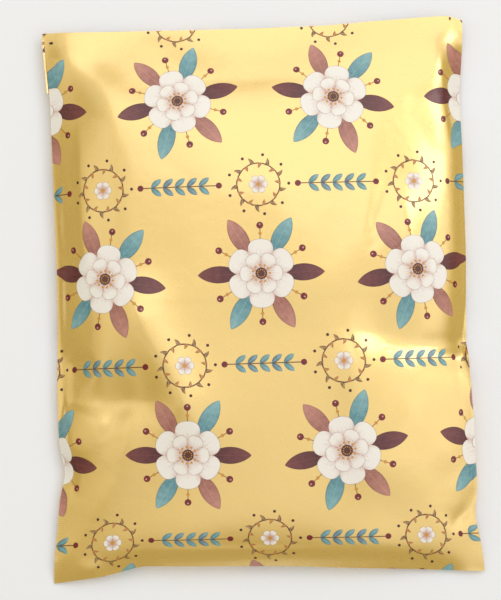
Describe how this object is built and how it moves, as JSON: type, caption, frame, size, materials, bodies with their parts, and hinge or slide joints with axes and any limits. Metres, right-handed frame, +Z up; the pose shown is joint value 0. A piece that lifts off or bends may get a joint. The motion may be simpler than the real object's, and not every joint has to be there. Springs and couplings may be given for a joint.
{
  "type": "poly mailer bag",
  "caption": "Sealed, lightly filled film mailing bag with welded sides, a bottom fold and a flap stuck down on its back.",
  "frame": {"origin": "middle of the bag's plan, on the surface that the bag lies on", "axes": "+X across the width, +Y along the length toward the flap end, +Z up out of the printed face"},
  "size_m": [0.254, 0.33, 0.034],
  "materials": {
    "mailer_bag": "satin gold printed film"
  },
  "bodies": {
    "root": {"mailer_bag": "mailer_bag"}
  },
  "joints": []
}
